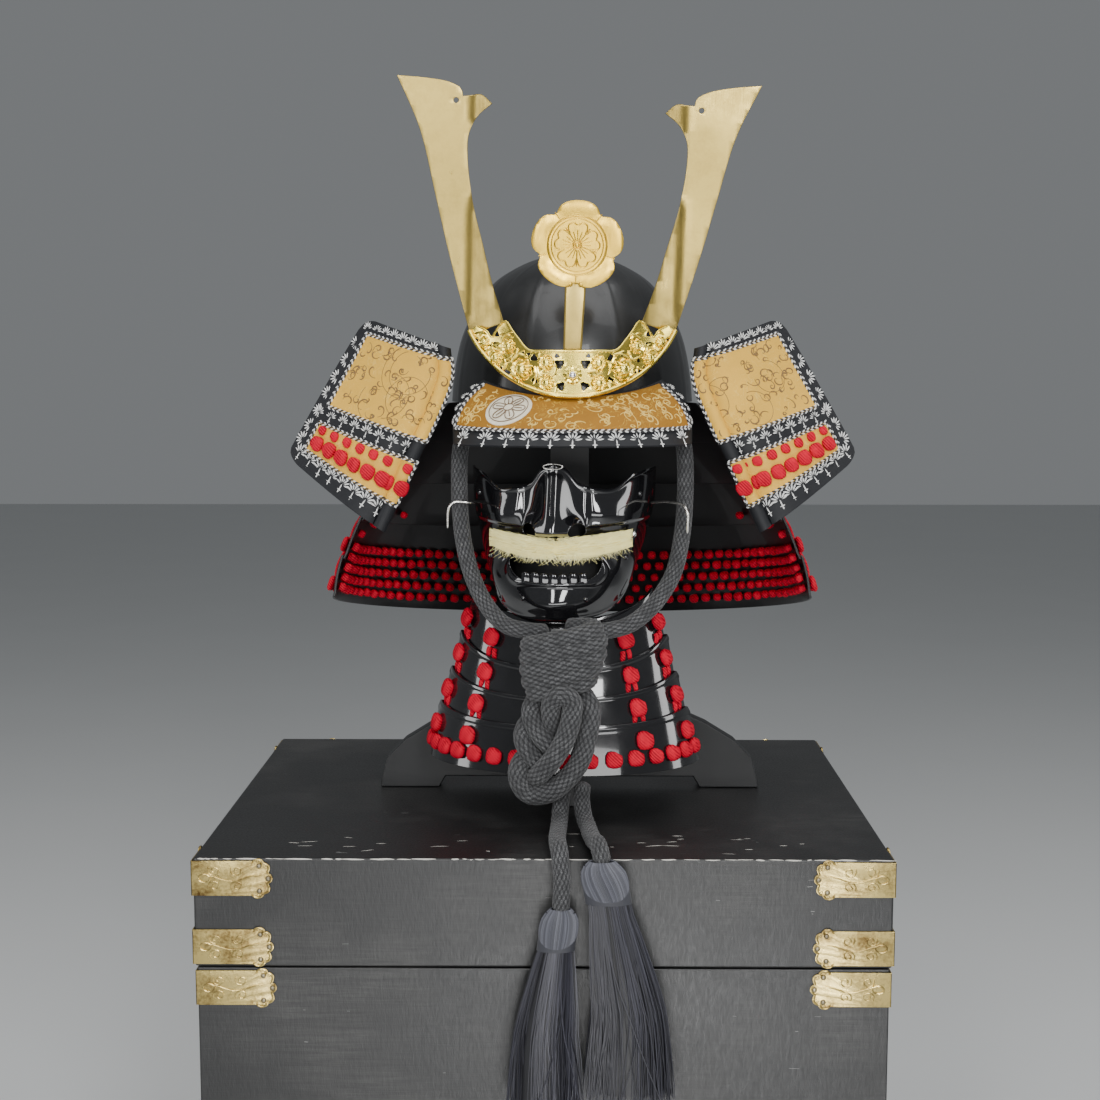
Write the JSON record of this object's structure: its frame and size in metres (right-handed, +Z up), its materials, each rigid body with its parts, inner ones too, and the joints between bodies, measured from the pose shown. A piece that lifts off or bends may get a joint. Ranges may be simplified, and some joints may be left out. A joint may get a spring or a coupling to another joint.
{
  "type": "samurai helmet with half mask and throat guard on a stand and armour chest",
  "caption": "Lacquered samurai helmet with gilt horns, flower crest, laced neck guard, half mask and throat guard, its knotted cord hanging over the armour chest it stands on",
  "frame": {"origin": "middle of the underside of the armour chest, on the surface that it stands on", "axes": "+Z is up, the mask faces -Y and +X is to the right of someone who looks at the mask"},
  "size_m": [0.5526, 0.4593, 1.121],
  "materials": {
    "black_lacquer": "deep gloss black lacquer over metal plate",
    "gold_plate": "bright polished gold plate",
    "pale_gold": "pale brushed gold",
    "brocade": "gold brocade with a woven scroll pattern",
    "red_silk": "braided red silk lacing",
    "charcoal_cord": "matt braided cord",
    "tassel_hair": "straight silk fibres",
    "cream_hair": "short cream hair",
    "stand_black": "satin black painted board",
    "chest_lacquer": "worn black lacquer over wood",
    "old_brass": "chased brass with dull tarnish"
  },
  "bodies": {
    "root": {"bowl": "black_lacquer", "peak": "black_lacquer", "wing_left": "black_lacquer", "wing_right": "black_lacquer", "mask": "black_lacquer", "neck_plate_1": "black_lacquer", "neck_plate_2": "black_lacquer", "neck_plate_3": "black_lacquer", "neck_plate_4": "black_lacquer", "neck_plate_5": "black_lacquer", "throat_plate_1": "black_lacquer", "throat_plate_2": "black_lacquer", "throat_plate_3": "black_lacquer", "throat_plate_4": "black_lacquer", "horn_base": "gold_plate", "crest": "gold_plate", "horn_left": "pale_gold", "horn_right": "pale_gold", "crest_stem": "pale_gold", "pin_left": "pale_gold", "pin_right": "pale_gold", "cord_ring_left": "pale_gold", "cord_ring_right": "pale_gold", "peak_panel": "brocade", "wing_panel_left": "brocade", "wing_panel_right": "brocade", "neck_lacing_inside": "red_silk", "neck_lacing_outside": "red_silk", "wing_lacing_left": "red_silk", "wing_lacing_right": "red_silk", "throat_lacing_1": "red_silk", "throat_lacing_2": "red_silk", "throat_lacing_3": "red_silk", "throat_lacing_4": "red_silk", "throat_lacing_hem": "red_silk", "chin_cord": "charcoal_cord", "knot_wrap": "charcoal_cord", "knot_loops": "charcoal_cord", "tail_left": "charcoal_cord", "tail_right": "charcoal_cord", "tassel_left": "tassel_hair", "tassel_right": "tassel_hair", "moustache": "cream_hair", "stand_front_board": "stand_black", "stand_cross_board": "stand_black", "stand_post": "stand_black", "chest_body": "chest_lacquer", "chest_lid": "chest_lacquer", "fitting_lid_top_front_left": "old_brass", "fitting_lid_top_front_right": "old_brass", "fitting_lid_top_back_left": "old_brass", "fitting_lid_top_back_right": "old_brass", "fitting_lid_low_front_left": "old_brass", "fitting_lid_low_front_right": "old_brass", "fitting_lid_low_back_left": "old_brass", "fitting_lid_low_back_right": "old_brass", "fitting_body_front_left": "old_brass", "fitting_body_front_right": "old_brass", "fitting_body_back_left": "old_brass", "fitting_body_back_right": "old_brass"}
  },
  "joints": []
}
